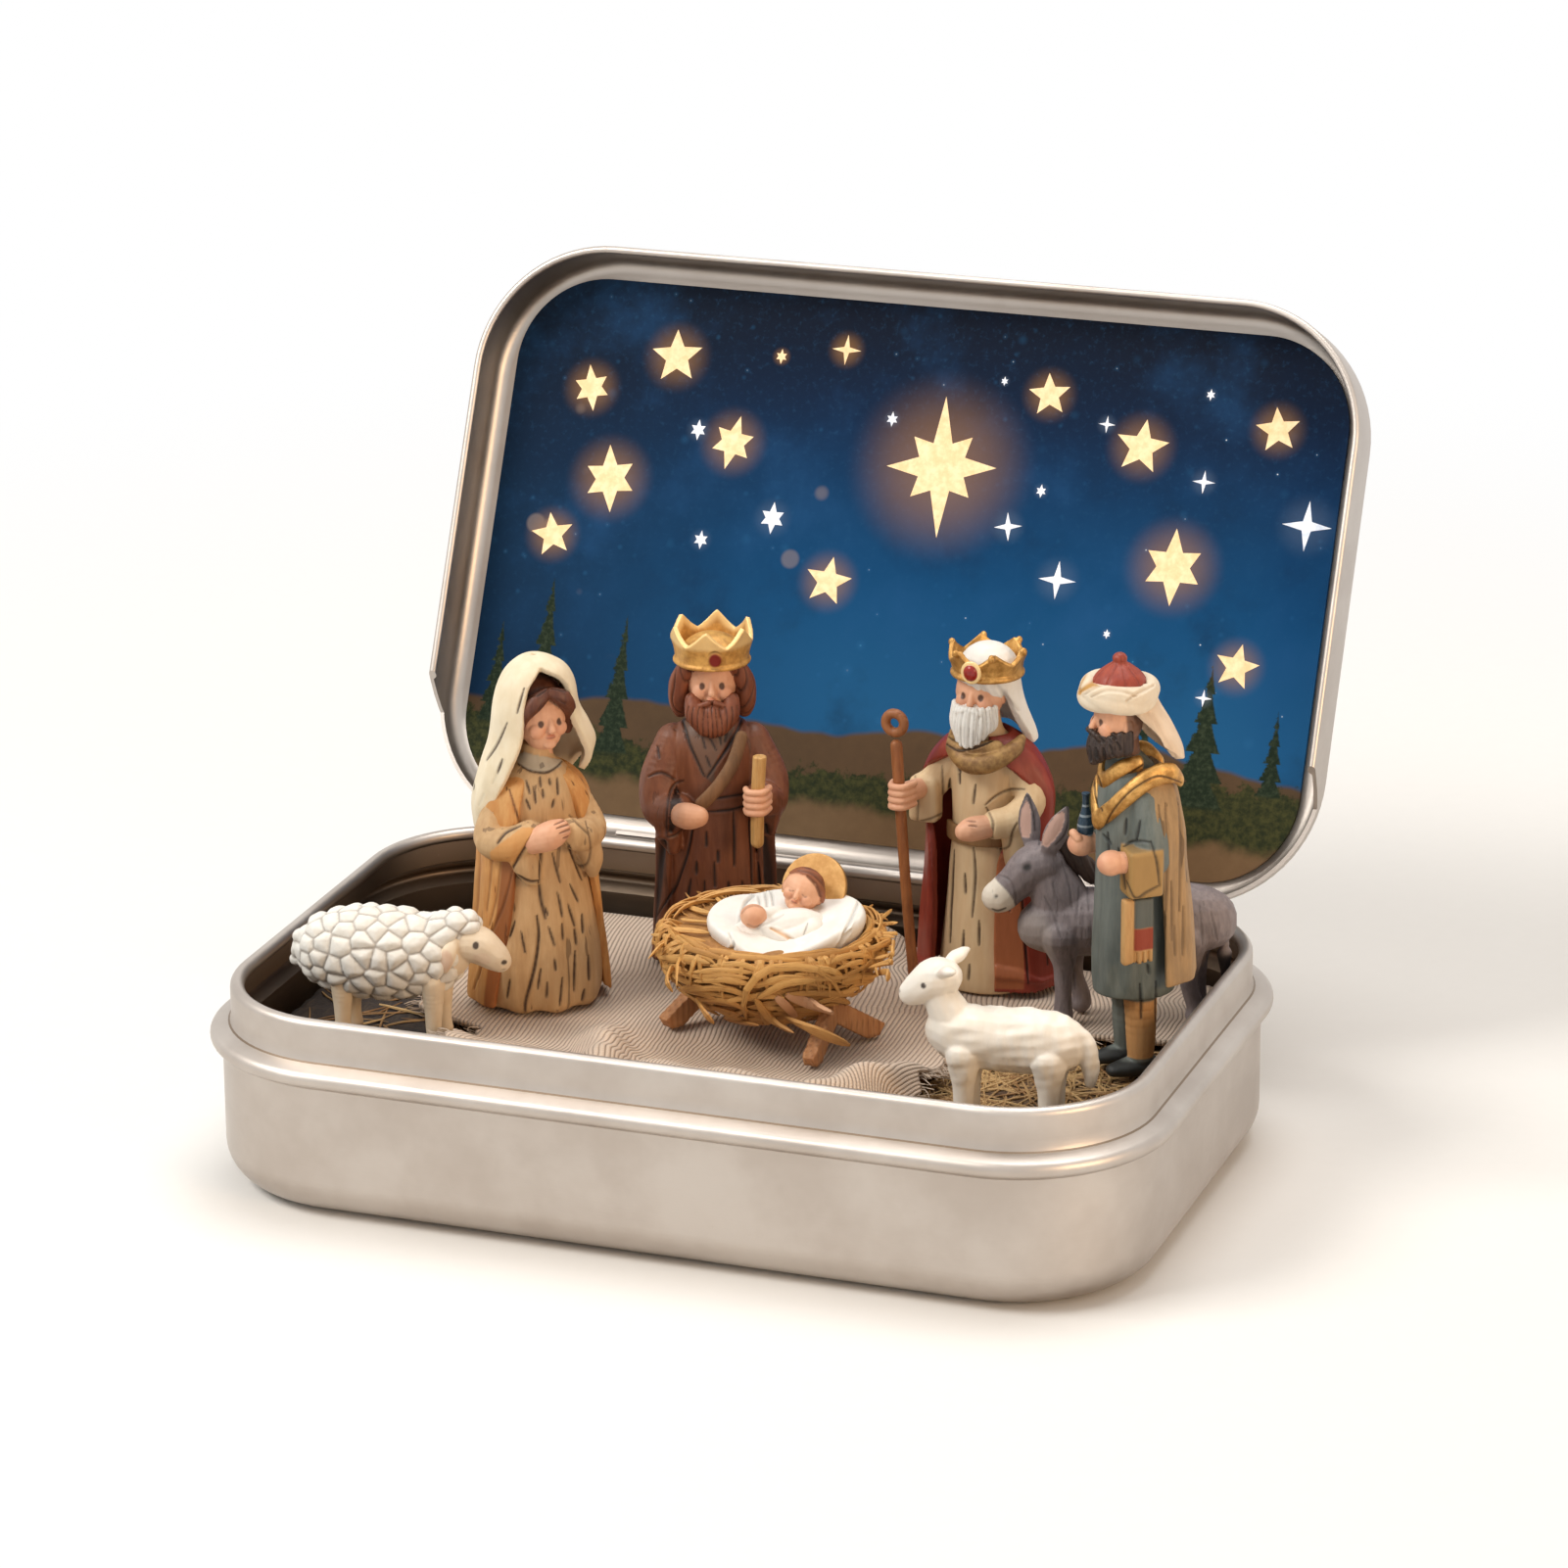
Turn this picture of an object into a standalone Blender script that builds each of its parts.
# Pocket nativity tin: a hinged sheet-metal tin that stands open, with a sky card in its
# lid and a set of loose clay figures on cloth and raffia in its base. Metres, +Z up,
# origin in the middle of the tin's underside, front towards -Y.
import math

import bmesh
import bpy
from mathutils import Matrix, Vector

for old in list(bpy.data.objects):
    bpy.data.objects.remove(old, do_unlink=True)

MM = 0.001

# Tin base
TIN_LENGTH = 0.0950
TIN_DEPTH = 0.0606
TIN_CORNER = 0.0143
TIN_HEIGHT = 0.0202
SHEET = 0.0004
FOOT_RADIUS = 0.0040
BEAD_HEIGHT = 0.0148
BEAD_OUT = 0.0012
BEAD_HALF = 0.0009
NECK_INSET = 0.0009
RIM_ROLL = 0.0007
CORNER_STEPS = 5

# Tin lid, drawn closed and then turned open about the hinge
LID_CLEARANCE = 0.0009
LID_HEIGHT = 0.0223
LID_SKIRT = 0.0069
LID_EDGE_RADIUS = 0.0018
LID_ROLL = 0.0004
LID_OPEN = 115.4
LID_RELIEF_REACH = 0.0107

# Hinge: ears of the base carry a roll, knuckles of the lid curl round it
HINGE_DROP = 0.0016
HINGE_PIN_RADIUS = 0.0008
HINGE_GAP = 0.0003
KNUCKLE_SHEET = 0.0004
KNUCKLE_LENGTH = 0.0080
EAR_LENGTH = 0.0100
KNUCKLE_SPACING = 0.0440
EAR_SHEET = 0.0004

# Sky card
CARD_THICKNESS = 0.0005
CARD_MARGIN = 0.0022
CARD_CORNER = 0.0095

# Floor of the scene
SEAT = 0.0003
BED_HEIGHT = 0.0104
BED_CLEARANCE = 0.0012
MAT_THICKNESS = 0.0010
LINEN_THICKNESS = 0.0009
LINEN_LEFT_FRONT = 0.0243
LINEN_LEFT_BACK = 0.0330
LINEN_RIGHT_FRONT = 0.0215
LINEN_RIGHT_BACK = 0.0430
LINEN_FRONT = 0.0262
LINEN_BACK = 0.0262
FOLD_HEIGHT = 0.0046
LINEN_COLUMNS = 26
LINEN_ROWS = 17

# Figures: places on the floor (x, y), headings in degrees, heights
WOMAN_AT = (-0.0220, 0.0010)
WOMAN_HEADING = 32.0
WOMAN_HEIGHT = 0.0360
WOMAN_HEM_WIDTH = 0.0128
WOMAN_HEM_DEPTH = 0.0106
BROWN_AT = (-0.0098, 0.0180)
BROWN_HEADING = 20.0
BROWN_HEIGHT = 0.0352
BROWN_HEM_WIDTH = 0.0130
BROWN_HEM_DEPTH = 0.0104
BEARDED_AT = (0.0185, 0.0198)
BEARDED_HEADING = -6.0
BEARDED_HEIGHT = 0.0360
BEARDED_HEM_WIDTH = 0.0098
BEARDED_HEM_DEPTH = 0.0084
TURBAN_AT = (0.0384, 0.0046)
TURBAN_HEADING = -52.0
TURBAN_HEIGHT = 0.0425
TURBAN_HEM_WIDTH = 0.0074
TURBAN_HEM_DEPTH = 0.0082
DONKEY_AT = (0.0334, 0.0142)
DONKEY_HEADING = 18.0
DONKEY_LENGTH = 0.0255
DONKEY_BACK = 0.0142
MANGER_AT = (0.0030, -0.0005)
MANGER_HEADING = 14.0
NEST_WIDTH = 0.0236
NEST_DEPTH = 0.0176
NEST_RIM_HEIGHT = 0.0108
NEST_HEIGHT = 0.0078
NEST_LEAN = 0.10
TRESTLE_TURN = -31.0
TRESTLE_SPACING = 0.0175
TRESTLE_SPREAD = 0.0109
STRAW_LENGTH = 0.0016
CHILD_LENGTH = 0.0106
SHEEP_AT = (-0.0322, -0.0118)
SHEEP_HEADING = 8.0
SHEEP_LENGTH = 0.0170
SHEEP_HEIGHT = 0.0142
LAMB_AT = (0.0310, -0.0130)
LAMB_HEADING = 6.0
LAMB_LENGTH = 0.0165
LAMB_HEIGHT = 0.0122

# Heights or lengths at which the figures were drawn, in millimetres.
# In each figure mm stands for one drawn millimetre, so its small sizes follow its named size.
WOMAN_DRAWN = 36.0
BROWN_DRAWN = 35.2
BEARDED_DRAWN = 36.0
TURBAN_DRAWN = 42.5
DONKEY_DRAWN = 14.2
SHEEP_DRAWN = 14.2
LAMB_DRAWN = 12.2
NEST_DRAWN = 10.8
CHILD_DRAWN = 10.6

# Worked out from the sizes above
HALF_LENGTH = TIN_LENGTH / 2
HALF_DEPTH = TIN_DEPTH / 2
HINGE_Y = HALF_DEPTH - NECK_INSET + HINGE_GAP + KNUCKLE_SHEET + HINGE_GAP + HINGE_PIN_RADIUS
HINGE_Z = TIN_HEIGHT - HINGE_DROP
MAT_Z = BED_HEIGHT + SEAT
LINEN_Z = MAT_Z + MAT_THICKNESS + SEAT
MAT_TOP = MAT_Z + MAT_THICKNESS
LINEN_TOP = LINEN_Z + LINEN_THICKNESS


def material(name, colour, roughness, metallic=0.0):
    made = bpy.data.materials.new(name)
    made.use_nodes = True
    shader = made.node_tree.nodes["Principled BSDF"]
    shader.inputs["Base Color"].default_value = (*colour, 1.0)
    shader.inputs["Roughness"].default_value = roughness
    shader.inputs["Metallic"].default_value = metallic
    made.diffuse_color = (*colour, 1.0)
    return made


def show(name, bm, mat, smooth=40.0):
    bmesh.ops.recalc_face_normals(bm, faces=bm.faces)
    mesh = bpy.data.meshes.new(name)
    bm.to_mesh(mesh)
    bm.free()
    mesh.materials.append(mat)
    mesh.shade_smooth()
    mesh.set_sharp_from_angle(angle=math.radians(smooth))
    made = bpy.data.objects.new(name, mesh)
    bpy.context.collection.objects.link(made)
    return made


def skin(bm, rings, closed=False):
    """Joins rings of points, one after the other, and caps the ends."""
    loops = [[bm.verts.new(point) for point in ring] for ring in rings]
    count = len(loops[0])
    pairs = list(zip(loops, loops[1:]))
    if closed:
        pairs.append((loops[-1], loops[0]))
    for low, high in pairs:
        for i in range(count):
            j = (i + 1) % count
            bm.faces.new((low[i], low[j], high[j], high[i]))
    if not closed:
        bm.faces.new(loops[0])
        bm.faces.new(loops[-1])
    return loops


def oval(z, rx, ry, cx=0.0, cy=0.0, sides=12):
    """A level oval section."""
    points = []
    for i in range(sides):
        angle = 2 * math.pi * (i + 0.5) / sides
        points.append(Vector((cx + rx * math.cos(angle), cy + ry * math.sin(angle), z)))
    return points


def loft(name, rings, mat, smooth=50.0):
    bm = bmesh.new()
    skin(bm, rings)
    return show(name, bm, mat, smooth)


def ball(name, centre, radii, mat, sides=10, bands=7):
    bm = bmesh.new()
    size = Matrix.Diagonal((*radii, 1.0))
    bmesh.ops.create_uvsphere(bm, u_segments=sides, v_segments=bands, radius=1.0,
                              matrix=Matrix.Translation(centre) @ size)
    return show(name, bm, mat, 80.0)


def box(name, low, high, mat):
    bm = bmesh.new()
    low, high = Vector(low), Vector(high)
    place = Matrix.Translation((low + high) / 2) @ Matrix.Diagonal((*(high - low), 1.0))
    bmesh.ops.create_cube(bm, size=1.0, matrix=place)
    return show(name, bm, mat)


def tube(name, path, radii, mat, sides=8, flat=1.0):
    """A round or flattened bar along a path of points, with a radius at each."""
    path = [Vector(p) for p in path]
    rings = []
    side = None
    for i, point in enumerate(path):
        ahead = path[min(i + 1, len(path) - 1)] - path[max(i - 1, 0)]
        ahead.normalize()
        if side is None:
            side = ahead.orthogonal().normalized()
            if abs(ahead.z) < 0.9:
                side = Vector((0, 0, 1)).cross(ahead).normalized()
        side = (side - ahead * side.dot(ahead)).normalized()
        other = ahead.cross(side)
        ring = []
        for k in range(sides):
            angle = 2 * math.pi * (k + 0.5) / sides
            ring.append(point + side * (radii[i] * math.cos(angle))
                        + other * (radii[i] * flat * math.sin(angle)))
        rings.append(ring)
    return loft(name, rings, mat, 60.0)


def volume(mesh):
    """Volume of a closed mesh; an open one counts as none."""
    bm = bmesh.new()
    bm.from_mesh(mesh)
    whole = len(bm.faces) > 3 and all(len(edge.link_faces) == 2 for edge in bm.edges)
    amount = bm.calc_volume(signed=True) if whole else 0.0
    bm.free()
    return amount


def evaluated(made):
    graph = bpy.context.evaluated_depsgraph_get()
    return bpy.data.meshes.new_from_object(made.evaluated_get(graph))


def largest_body(mesh):
    """Deletes the crumbs that a cut leaves beside the piece itself."""
    bm = bmesh.new()
    bm.from_mesh(mesh)
    left = set(bm.verts)
    bodies = []
    while left:
        front = [left.pop()]
        body = set(front)
        while front:
            for edge in front.pop().link_edges:
                for vert in edge.verts:
                    if vert in left:
                        left.discard(vert)
                        body.add(vert)
                        front.append(vert)
        bodies.append(body)
    bodies.sort(key=len)
    for body in bodies[:-1]:
        bmesh.ops.delete(bm, geom=list(body), context="VERTS")
    bm.to_mesh(mesh)
    bm.free()


def boolean(made, other, operation):
    """EXACT first; MANIFOLD where that leaves the mesh open or loses some of it."""
    mine, theirs = volume(made.data), volume(other.data)
    least = max(mine, theirs) if operation == "UNION" else max(mine - theirs, 0.02 * mine)
    for solver in ("EXACT", "MANIFOLD"):
        step = made.modifiers.new(operation, "BOOLEAN")
        step.operation = operation
        step.object = other
        step.solver = solver
        mesh = evaluated(made)
        made.modifiers.clear()
        if volume(mesh) > 0.999 * least:
            break
    largest_body(mesh)
    old_mesh = made.data
    made.data = mesh
    bpy.data.meshes.remove(old_mesh)


def fuse(made, *others):
    for other in others:
        boolean(made, other, "UNION")
        bpy.data.objects.remove(other, do_unlink=True)
    return made


def cut(made, *others):
    for other in others:
        boolean(made, other, "DIFFERENCE")
        bpy.data.objects.remove(other, do_unlink=True)
    return made


def swollen(made, gap):
    """A copy whose faces lie a gap further out."""
    mesh = made.data.copy()
    bm = bmesh.new()
    bm.from_mesh(mesh)
    bm.normal_update()
    moves = {}
    for vert in bm.verts:
        lean = min((vert.normal.dot(face.normal) for face in vert.link_faces), default=1.0)
        moves[vert] = vert.normal * (gap / max(lean, 0.45))
    for vert, move in moves.items():
        vert.co += move
    bm.to_mesh(mesh)
    bm.free()
    copy = bpy.data.objects.new("cutter", mesh)
    bpy.context.collection.objects.link(copy)
    return copy


def clear(made, *neighbours, gap=SEAT):
    """Cuts room for the neighbours out of a piece, with the seat gap all round."""
    for neighbour in neighbours:
        cut(made, swollen(neighbour, gap * 1.12))
    return made


def tidy(made):
    """Joins the flat facets that the cuts left split."""
    bm = bmesh.new()
    bm.from_mesh(made.data)
    bmesh.ops.dissolve_limit(bm, angle_limit=math.radians(1.0), verts=bm.verts, edges=bm.edges)
    bm.to_mesh(made.data)
    bm.free()


def place(name, at, heading, floor, pieces):
    """Stands a figure's pieces on the floor under one empty at its lifting axis."""
    root = bpy.data.objects.new(name, None)
    bpy.context.collection.objects.link(root)
    root.location = (at[0], at[1], floor + SEAT)
    root.rotation_euler = (0, 0, math.radians(heading))
    for piece in pieces:
        tidy(piece)
        piece.parent = root
    return root


# Materials
TINPLATE = material("tinplate", (0.62, 0.58, 0.54), 0.32, 1.0)
PRINT = material("sky_print", (0.02, 0.06, 0.16), 0.55)
FILLER = material("filler", (0.45, 0.33, 0.20), 0.9)
RAFFIA = material("raffia", (0.50, 0.34, 0.16), 0.85)
LINEN = material("linen", (0.66, 0.55, 0.44), 0.95)
SKIN = material("clay_skin", (0.76, 0.40, 0.24), 0.6)
CREAM = material("clay_cream", (0.83, 0.72, 0.54), 0.6)
TAN = material("clay_tan", (0.62, 0.38, 0.18), 0.65)
AMBER = material("clay_amber", (0.58, 0.27, 0.09), 0.65)
BROWN = material("clay_brown", (0.20, 0.07, 0.035), 0.6)
HAIR = material("clay_hair", (0.16, 0.055, 0.025), 0.6)
DARK = material("clay_dark", (0.04, 0.025, 0.02), 0.6)
WHITE = material("clay_white", (0.84, 0.80, 0.74), 0.6)
RED = material("clay_red", (0.24, 0.035, 0.02), 0.55)
GREY = material("clay_grey", (0.20, 0.17, 0.17), 0.65)
SLATE = material("clay_slate", (0.11, 0.13, 0.12), 0.6)
OLIVE = material("clay_olive", (0.25, 0.15, 0.06), 0.65)
GOLD = material("gold_paint", (0.52, 0.28, 0.07), 0.4, 0.6)
GEM = material("gem_paint", (0.25, 0.01, 0.01), 0.2)
WOOD = material("stick_wood", (0.33, 0.14, 0.05), 0.6)
STRAW = material("straw", (0.56, 0.36, 0.13), 0.8)


# Tin
def rounded(half_x, half_y, radius, z):
    """A level rounded rectangle, anticlockwise from the right."""
    radius = max(radius, 0.5 * MM)
    points = []
    for quarter in range(4):
        sx = (1, -1, -1, 1)[quarter]
        sy = (1, 1, -1, -1)[quarter]
        for i in range(CORNER_STEPS + 1):
            angle = math.pi / 2 * (quarter + i / CORNER_STEPS)
            points.append(Vector((
                sx * (half_x - radius) + radius * math.cos(angle),
                sy * (half_y - radius) + radius * math.sin(angle),
                z,
            )))
    return points


def pressed(name, profile, half_x, half_y, radius):
    """A sheet pressing: a wall section of (offset, height) points carried round the tin."""
    rings = [rounded(half_x + out, half_y + out, radius + out, z) for out, z in profile]
    return loft(name, rings, TINPLATE, 45.0)


def arc(out, z, radius, start, end, steps):
    """Points of an arc in the wall section, in degrees from straight out."""
    points = []
    for i in range(steps + 1):
        angle = math.radians(start + (end - start) * i / steps)
        points.append((out + radius * math.cos(angle), z + radius * math.sin(angle)))
    return points


def tin_base():
    neck = -NECK_INSET
    bead = BEAD_OUT - BEAD_HALF
    start, end = BEAD_HEIGHT - 1.3 * BEAD_HALF, BEAD_HEIGHT + 1.9 * BEAD_HALF
    outside = arc(-FOOT_RADIUS, FOOT_RADIUS, FOOT_RADIUS, -90, 0, 4) + [(0.0, start)]
    outside += arc(bead, BEAD_HEIGHT, BEAD_HALF, -60, 75, 3) + [(neck, end)]
    roll = arc(neck - RIM_ROLL, TIN_HEIGHT - RIM_ROLL, RIM_ROLL, 0, 270 - 40, 7)
    foot = FOOT_RADIUS - SHEET
    inside = [(neck - SHEET, TIN_HEIGHT - 2.1 * RIM_ROLL), (neck - SHEET, end)]
    inside += arc(bead, BEAD_HEIGHT, BEAD_HALF - SHEET, 75, -60, 2) + [(-SHEET, start)]
    inside += arc(-FOOT_RADIUS, FOOT_RADIUS, foot, 0, -90, 4)
    base = pressed("tin_base", outside + roll + inside, HALF_LENGTH, HALF_DEPTH, TIN_CORNER)
    wall_y = HALF_DEPTH - NECK_INSET
    for side in (-1, 1):
        middle = side * KNUCKLE_SPACING / 2
        half = EAR_LENGTH / 2
        web = box("web", (middle - half, wall_y - SHEET / 2, HINGE_Z - EAR_SHEET / 2),
                  (middle + half, HINGE_Y, HINGE_Z + EAR_SHEET / 2), TINPLATE)
        pin = tube("pin", [(middle - half, HINGE_Y, HINGE_Z), (middle + half, HINGE_Y, HINGE_Z)],
                   [HINGE_PIN_RADIUS] * 2, TINPLATE, sides=12)
        fuse(base, fuse(pin, web))
    return base


def knuckle(middle):
    """A curl of the lid's sheet round the hinge roll, open where the ear's web passes."""
    inner = HINGE_PIN_RADIUS + HINGE_GAP
    outer = inner + KNUCKLE_SHEET
    web = math.degrees(math.asin((EAR_SHEET / 2 + HINGE_GAP) / inner))
    start, end = 180 - web, -180 + web + LID_OPEN
    steps = 9
    section = []
    for radius, first, last in ((outer, start, end), (inner, end, start)):
        for i in range(steps + 1):
            angle = math.radians(first + (last - first) * i / steps)
            section.append((radius * math.cos(angle), radius * math.sin(angle)))
    half = KNUCKLE_LENGTH / 2
    rings = [[Vector((x, y, z)) for y, z in section] for x in (middle - half, middle + half)]
    return loft("knuckle", rings, TINPLATE)


def tin_lid():
    """Drawn closed about the hinge, so the object's origin is on the hinge axis."""
    clearance = LID_CLEARANCE - NECK_INSET + SHEET
    top = LID_HEIGHT
    low = top - LID_SKIRT
    edge = LID_EDGE_RADIUS
    outside = arc(clearance - edge, top - edge, edge, 90, 0, 4)
    roll = arc(clearance - LID_ROLL, low + LID_ROLL, LID_ROLL, 0, -240, 6)
    inside = [(clearance - SHEET, low + 2.2 * LID_ROLL)]
    inside += arc(clearance - edge, top - edge, edge - SHEET, 0, 90, 4)
    lid = pressed("tin_lid", outside + roll + inside, HALF_LENGTH, HALF_DEPTH, TIN_CORNER - 2 * SHEET)
    reach = HALF_DEPTH - LID_RELIEF_REACH
    wide = TIN_LENGTH
    relief = HINGE_Z + HINGE_PIN_RADIUS + HINGE_GAP
    slope = relief - low
    section = [(reach - slope, low - 2 * MM), (HALF_DEPTH + 5 * MM, low - 2 * MM),
               (HALF_DEPTH + 5 * MM, relief), (reach, relief), (reach - slope, low - 0.5 * MM)]
    rings = [[Vector((x, y, z)) for y, z in section] for x in (-wide, wide)]
    cut(lid, loft("relief", rings, TINPLATE))
    bm = bmesh.new()
    bm.from_mesh(lid.data)
    bmesh.ops.translate(bm, verts=bm.verts, vec=(0, -HINGE_Y, -HINGE_Z))
    bm.to_mesh(lid.data)
    bm.free()
    skirt_out = HALF_DEPTH + clearance - HINGE_Y
    for side in (-1, 1):
        middle = side * KNUCKLE_SPACING / 2
        half = KNUCKLE_LENGTH / 2
        inner = HINGE_PIN_RADIUS + HINGE_GAP
        tongue_low = math.sqrt(max(inner ** 2 - skirt_out ** 2, 0)) + 0.1 * MM
        tongue = box("tongue", (middle - half, skirt_out - SHEET, tongue_low),
                     (middle + half, skirt_out, relief - HINGE_Z + 1.0 * MM), TINPLATE)
        fuse(lid, fuse(knuckle(middle), tongue))
    lid.location = (0, HINGE_Y, HINGE_Z)
    lid.rotation_euler = (math.radians(-LID_OPEN), 0, 0)
    return lid


def sky_card(lid):
    """Printed card on the inner face of the lid."""
    inner = LID_HEIGHT - SHEET
    clearance = LID_CLEARANCE - NECK_INSET
    half_x = HALF_LENGTH + clearance - CARD_MARGIN
    half_y = HALF_DEPTH + clearance - CARD_MARGIN
    rings = []
    for z in (inner - SEAT - CARD_THICKNESS, inner - SEAT):
        rings.append([p - Vector((0, HINGE_Y, HINGE_Z)) for p in rounded(half_x, half_y, CARD_CORNER, z)])
    card = loft("sky_card", rings, PRINT)
    card.parent = lid
    return card


# Floor
def level_fill(name, low, high, clearance, mat):
    """A flat filling of the tray, clear of its wall, between two heights."""
    inset = NECK_INSET + SHEET + clearance
    rings = []
    for z, extra in ((low, FOOT_RADIUS * 0.6 if low < FOOT_RADIUS else 0.0), (low + 3 * MM, 0.0),
                     (high, 0.0)):
        if z > high or (z == low + 3 * MM and low >= FOOT_RADIUS):
            continue
        shrink = inset + extra
        rings.append(rounded(HALF_LENGTH - shrink, HALF_DEPTH - shrink, TIN_CORNER - shrink, z))
    return loft(name, rings, mat)


def step(value, low, high):
    """A smooth rise from 0 to 1 between two values."""
    share = min(max((value - low) / (high - low), 0.0), 1.0)
    return share * share * (3 - 2 * share)


def footprints():
    """Where figures stand on the linen, as (x, y, radius) that stays flat."""
    return (
        (*WOMAN_AT, WOMAN_HEM_WIDTH * 0.66),
        (*BROWN_AT, BROWN_HEM_WIDTH * 0.66),
        (BEARDED_AT[0], BEARDED_AT[1], BEARDED_HEM_WIDTH * 1.02),
        (*MANGER_AT, NEST_WIDTH * 0.50),
        (*DONKEY_AT, DONKEY_LENGTH * 0.42),
        (*TURBAN_AT, TURBAN_HEM_WIDTH * 0.9),
        (*LAMB_AT, LAMB_LENGTH * 0.50),
    )


def fold(x, y):
    """Height of the linen's folds above the flat, zero where a figure stands."""
    front = math.exp(-((y + 21 * MM + 0.12 * x) / (5.4 * MM)) ** 2)
    rise = front * (0.78 + 0.22 * math.sin(x / (7.5 * MM) + 0.6))
    ridge = math.exp(-((x - 17 * MM - 0.55 * (y + 15 * MM)) / (3.4 * MM)) ** 2)
    rise = max(rise, 0.85 * ridge * step(-y, 2 * MM, 14 * MM))
    left = math.exp(-((x + 13.5 * MM + 0.3 * y) / (2.6 * MM)) ** 2) * step(-y, 0, 12 * MM)
    rise = max(rise, 0.6 * left)
    between = math.exp(-((x + 2 * MM) / (6 * MM)) ** 2 - ((y - 13.5 * MM) / (2.6 * MM)) ** 2)
    rise = max(rise, 0.35 * between)
    back = math.exp(-((x - 5 * MM) / (5 * MM)) ** 2) * step(y, 15 * MM, 21 * MM)
    rise = max(rise, 0.5 * back)
    flat = 1.0
    for fx, fy, radius in footprints():
        flat *= step(math.hypot(x - fx, y - fy), radius, radius * 1.45)
    return FOLD_HEIGHT * rise * flat


def linen_cloth():
    """One sheet of even thickness that follows its folds."""
    low, high = [], []
    for row in range(LINEN_ROWS + 1):
        v = row / LINEN_ROWS
        y = -LINEN_FRONT + v * (LINEN_FRONT + LINEN_BACK)
        left = -LINEN_LEFT_FRONT - (LINEN_LEFT_BACK - LINEN_LEFT_FRONT) * step(y, -8.5 * MM, -4 * MM)
        right = LINEN_RIGHT_FRONT + (LINEN_RIGHT_BACK - LINEN_RIGHT_FRONT) * step(y, 8.2 * MM, 11.2 * MM)
        corner = max(abs(y) - (HALF_DEPTH - TIN_CORNER), 0.0) / TIN_CORNER
        pull = TIN_CORNER * (1 - math.sqrt(max(1 - corner ** 2, 0.0)))
        inner = HALF_LENGTH - NECK_INSET - 2 * SHEET - BED_CLEARANCE - pull
        left, right = max(left, -inner), min(right, inner)
        low_row, high_row = [], []
        for column in range(LINEN_COLUMNS + 1):
            x = left + (right - left) * column / LINEN_COLUMNS
            rise = fold(x, y)
            low_row.append(Vector((x, y, LINEN_Z + rise)))
            high_row.append(Vector((x, y, LINEN_Z + LINEN_THICKNESS + rise)))
        low.append(low_row)
        high.append(high_row)
    bm = bmesh.new()
    low_verts = [[bm.verts.new(p) for p in row] for row in low]
    high_verts = [[bm.verts.new(p) for p in row] for row in high]
    for r in range(LINEN_ROWS):
        for c in range(LINEN_COLUMNS):
            for sheet in (low_verts, high_verts):
                bm.faces.new((sheet[r][c], sheet[r][c + 1], sheet[r + 1][c + 1], sheet[r + 1][c]))
    edge = [(0, c) for c in range(LINEN_COLUMNS)] + [(r, LINEN_COLUMNS) for r in range(LINEN_ROWS)]
    edge += [(LINEN_ROWS, c) for c in range(LINEN_COLUMNS, 0, -1)] + [(r, 0) for r in range(LINEN_ROWS, 0,
                                                            -1)]
    for (r, c), (r2, c2) in zip(edge, edge[1:] + edge[:1]):
        bm.faces.new((low_verts[r][c], low_verts[r2][c2], high_verts[r2][c2], high_verts[r][c]))
    return show("linen_cloth", bm, LINEN)


# Figures
def robe(name, height, width, depth, shoulder, neck, mat, sides=14):
    """A robe from hem to neck; shoulder is its half width there."""
    shape = ((0.0, 1.0), (0.06, 0.98), (0.30, 0.84), (0.55, 0.74), (0.78, 0.70))
    rings = [oval(height * z, width / 2 * w, depth / 2 * w, sides=sides) for z, w in shape]
    rings.append(oval(height * 0.90, shoulder, depth * 0.33, sides=sides))
    rings.append(oval(height * 0.96, shoulder * 0.72, depth * 0.26, sides=sides))
    rings.append(oval(height, neck * 1.25, neck * 1.25, sides=sides))
    rings.append(oval(height * 1.05, neck, neck, sides=sides))
    return loft(name, rings, mat)


def sleeve(shoulder, elbow, wrist, start, middle, cuff, mat):
    between = (Vector(elbow) + Vector(wrist)) / 2
    return tube("sleeve", [shoulder, elbow, between, wrist], [start, middle, (middle + cuff) / 2, cuff], mat)


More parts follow.
